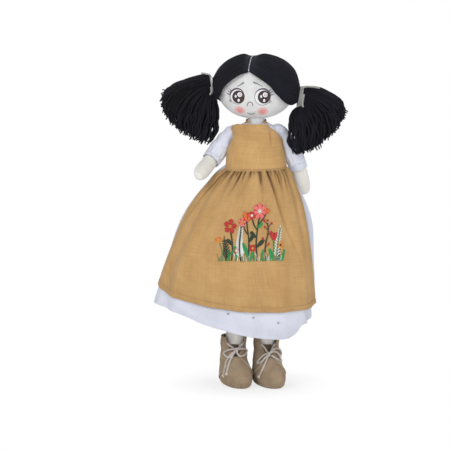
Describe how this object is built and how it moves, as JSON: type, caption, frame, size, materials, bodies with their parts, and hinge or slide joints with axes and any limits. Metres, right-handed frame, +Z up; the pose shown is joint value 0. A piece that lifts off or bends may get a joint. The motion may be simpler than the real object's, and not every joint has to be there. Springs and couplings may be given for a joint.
{
  "type": "handmade cloth doll",
  "caption": "Stuffed cloth doll in a white dress and tan apron, with dark yarn hair in two bunches and laced felt boots; head, arms, hips and legs move.",
  "frame": {"origin": "on the floor under the middle of the doll, between the two boots", "axes": "+Z up, the doll faces -Y, its left side is +X"},
  "size_m": [0.229, 0.0967, 0.3977],
  "materials": {
    "cotton_skin": "matt woven cotton",
    "stuffing": "loose fibre",
    "yarn": "twisted wool yarn",
    "cord": "cotton cord",
    "dress_cotton": "plain white cotton",
    "apron_linen": "plain tan linen",
    "boot_felt": "brown suede-like felt"
  },
  "bodies": {
    "torso": {"torso_skin": "cotton_skin", "torso_stuffing": "stuffing", "dress_bodice": "dress_cotton", "apron_bib": "apron_linen", "apron_back_band": "apron_linen", "apron_neck_strap": "apron_linen"},
    "neck": {"neck": "cotton_skin"},
    "head": {"head_skin": "cotton_skin", "head_stuffing": "stuffing", "hair_parting": "cord", "hair_right": "yarn", "hair_left": "yarn", "hair_tie_right": "cord", "hair_tie_left": "cord"},
    "lap": {"dress_skirt": "dress_cotton", "apron_skirt": "apron_linen"},
    "hair_bunch_right": {"hair_bunch_right": "yarn"},
    "arm_right": {"arm_right_skin": "cotton_skin", "arm_right_stuffing": "stuffing", "sleeve_right": "dress_cotton", "cuff_right": "dress_cotton"},
    "leg_right": {"leg_right_skin": "cotton_skin", "leg_right_stuffing": "stuffing", "boot_right_sole": "boot_felt", "boot_right_vamp": "boot_felt", "boot_right_quarter": "boot_felt", "boot_right_tongue": "boot_felt", "boot_right_lace": "cord"},
    "hair_bunch_left": {"hair_bunch_left": "yarn"},
    "arm_left": {"arm_left_skin": "cotton_skin", "arm_left_stuffing": "stuffing", "sleeve_left": "dress_cotton", "cuff_left": "dress_cotton"},
    "leg_left": {"leg_left_skin": "cotton_skin", "leg_left_stuffing": "stuffing", "boot_left_sole": "boot_felt", "boot_left_vamp": "boot_felt", "boot_left_quarter": "boot_felt", "boot_left_tongue": "boot_felt", "boot_left_lace": "cord"}
  },
  "joints": [
    {"name": "neck_nod", "type": "hinge", "parent": "torso", "child": "neck", "pos_m": [0.007, 0, 0.3135], "axis": [-1, 0, 0], "range_deg": [-10, 12], "deforming": ["neck"]},
    {"name": "head_turn", "type": "hinge", "parent": "neck", "child": "head", "pos_m": [0.007, 0, 0.32], "axis": [0, 0, 1], "range_deg": [-30, 30]},
    {"name": "hair_bunch_right_swing", "type": "hinge", "parent": "head", "child": "hair_bunch_right", "pos_m": [-0.047, 0, 0.3615], "axis": [-1, 0, 0], "range_deg": [-25, 25], "deforming": ["hair_bunch_right"]},
    {"name": "hair_bunch_left_swing", "type": "hinge", "parent": "head", "child": "hair_bunch_left", "pos_m": [0.064, 0, 0.3485], "axis": [-1, 0, 0], "range_deg": [-25, 25], "deforming": ["hair_bunch_left"]},
    {"name": "arm_right_swing", "type": "hinge", "parent": "torso", "child": "arm_right", "pos_m": [-0.0229, 0, 0.301], "axis": [-1, 0, 0], "range_deg": [-20, 75]},
    {"name": "arm_left_swing", "type": "hinge", "parent": "torso", "child": "arm_left", "pos_m": [0.0369, 0, 0.301], "axis": [-1, 0, 0], "range_deg": [-20, 75]},
    {"name": "sit_fold", "type": "hinge", "parent": "torso", "child": "lap", "pos_m": [0.007, 0, 0.226], "axis": [-1, 0, 0], "range_deg": [0, 85], "deforming": ["dress_skirt", "apron_skirt"]},
    {"name": "leg_right_swing", "type": "hinge", "parent": "lap", "child": "leg_right", "pos_m": [-0.0055, 0, 0.226], "axis": [-1, 0, 0], "range_deg": [-10, 10]},
    {"name": "leg_left_swing", "type": "hinge", "parent": "lap", "child": "leg_left", "pos_m": [0.0195, 0, 0.226], "axis": [-1, 0, 0], "range_deg": [-10, 10]}
  ]
}
